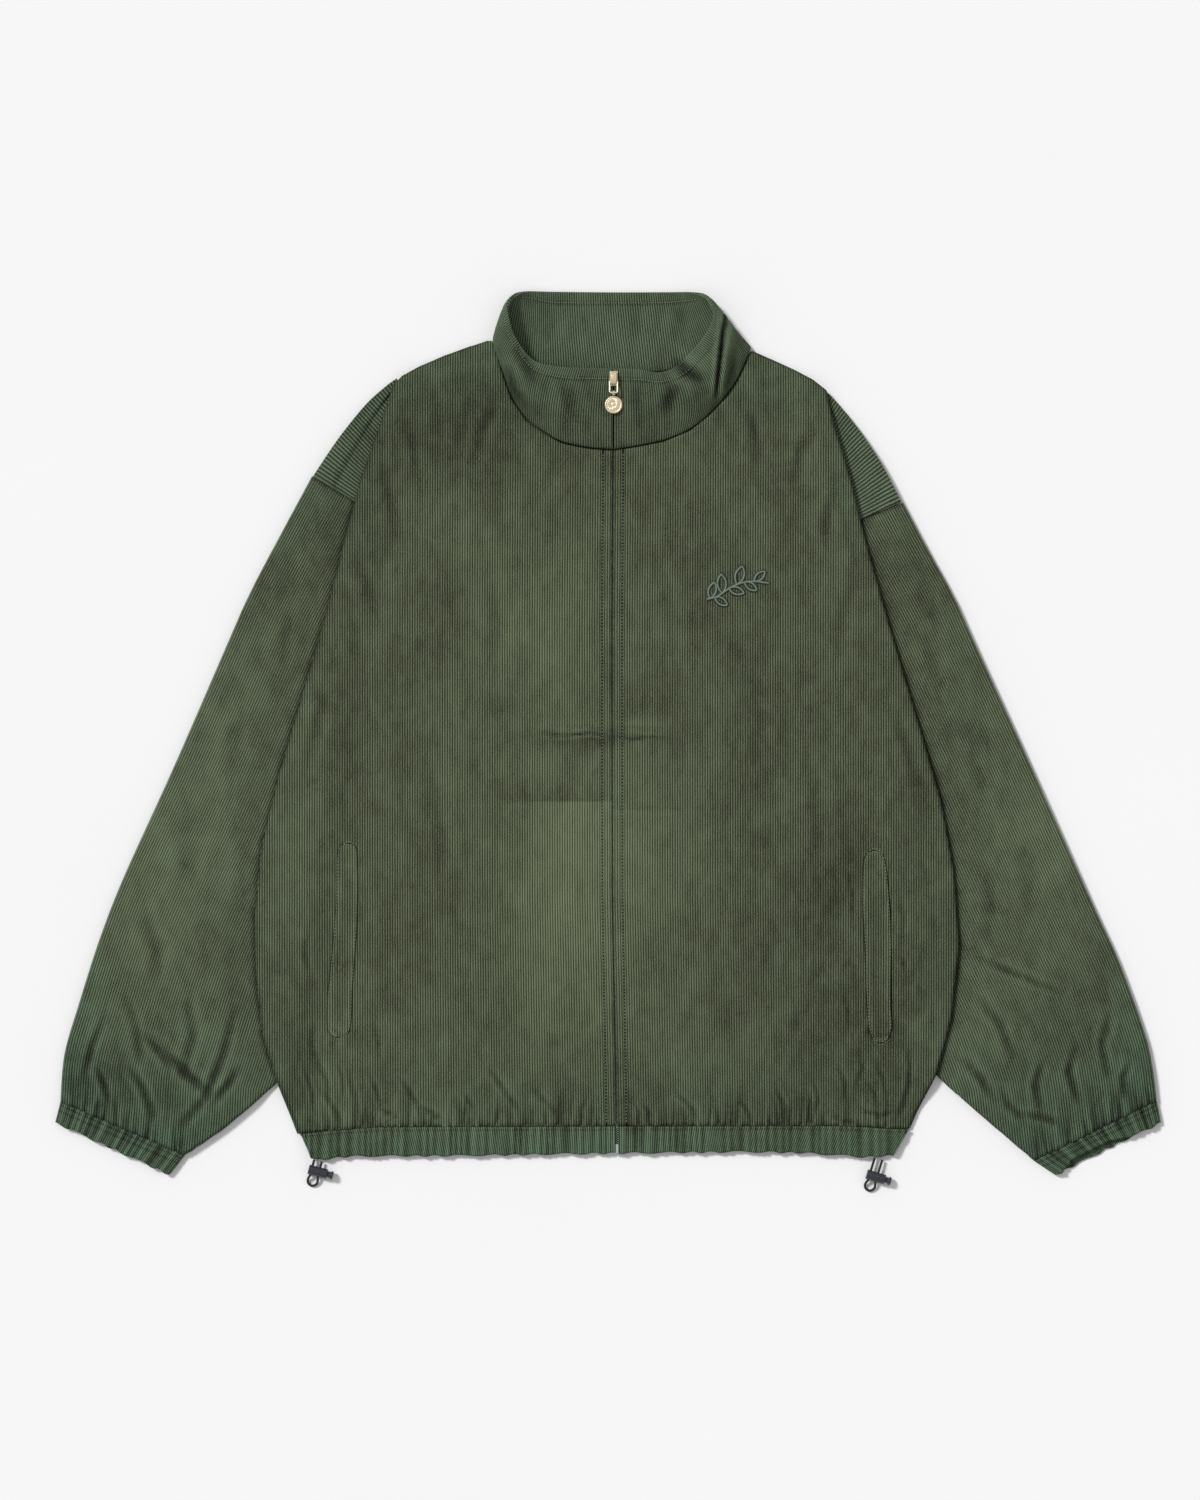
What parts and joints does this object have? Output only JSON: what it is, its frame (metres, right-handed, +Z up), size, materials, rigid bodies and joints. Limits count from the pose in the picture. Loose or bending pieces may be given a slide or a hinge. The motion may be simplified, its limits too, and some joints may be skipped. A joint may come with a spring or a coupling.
{
  "type": "corduroy jacket",
  "caption": "Corduroy zip jacket with stand collar, gathered cuffs and drawcord hem, laid flat with its front up.",
  "frame": {"origin": "middle of the jacket's outline, on the surface that it lies on", "axes": "+X to the viewer's right across the jacket, +Y from the hem to the collar, +Z up from the surface"},
  "size_m": [0.9945, 0.8096, 0.0241],
  "materials": {
    "corduroy": "cotton corduroy, fine wales, olive green",
    "zip_tape": "woven polyester tape, olive",
    "pale_gold": "pale gold plated, polished",
    "nickel": "nickel plated",
    "black_plastic": "moulded, satin",
    "elastic_cord": "braided round elastic, black"
  },
  "bodies": {
    "jacket": {"back_panel": "corduroy", "front_panel_left": "corduroy", "front_panel_right": "corduroy", "shoulder_inset_left": "corduroy", "shoulder_inset_right": "corduroy", "sleeve_left": "corduroy", "sleeve_right": "corduroy", "cuff_left": "corduroy", "cuff_right": "corduroy", "hem_band_back": "corduroy", "hem_band_front_left": "corduroy", "hem_band_front_right": "corduroy", "collar": "corduroy", "pocket_welt_left": "corduroy", "pocket_welt_right": "corduroy", "zip_tape_left": "zip_tape", "zip_tape_right": "zip_tape", "zip_slider": "pale_gold", "zip_box": "nickel", "cord_lock_barrel_left": "black_plastic", "cord_lock_barrel_right": "black_plastic", "draw_cord_left": "elastic_cord", "draw_cord_right": "elastic_cord"},
    "pull_link": {"zip_pull_link": "pale_gold"},
    "pull_medallion": {"zip_pull_medallion": "pale_gold"},
    "lock_button_left": {"cord_lock_button_left": "black_plastic"},
    "lock_button_right": {"cord_lock_button_right": "black_plastic"}
  },
  "joints": [
    {"name": "pull_link_swing", "type": "hinge", "parent": "jacket", "child": "pull_link", "pos_m": [0.005, 0.3152, 0.0197], "axis": [-1, 0, 0], "range_deg": [0, 120]},
    {"name": "pull_medallion_swing", "type": "hinge", "parent": "pull_link", "child": "pull_medallion", "pos_m": [0.005, 0.30411, 0.01754], "axis": [-1, 0, 0], "range_deg": [0, 60]},
    {"name": "lock_press_left", "type": "slide", "parent": "jacket", "child": "lock_button_left", "axis": [-0.965, 0.2622, 0], "range_m": [0, 0.003], "stiffness_N_per_m": 200},
    {"name": "lock_press_right", "type": "slide", "parent": "jacket", "child": "lock_button_right", "axis": [-0.9542, 0.299, 0], "range_m": [0, 0.003], "stiffness_N_per_m": 200}
  ]
}
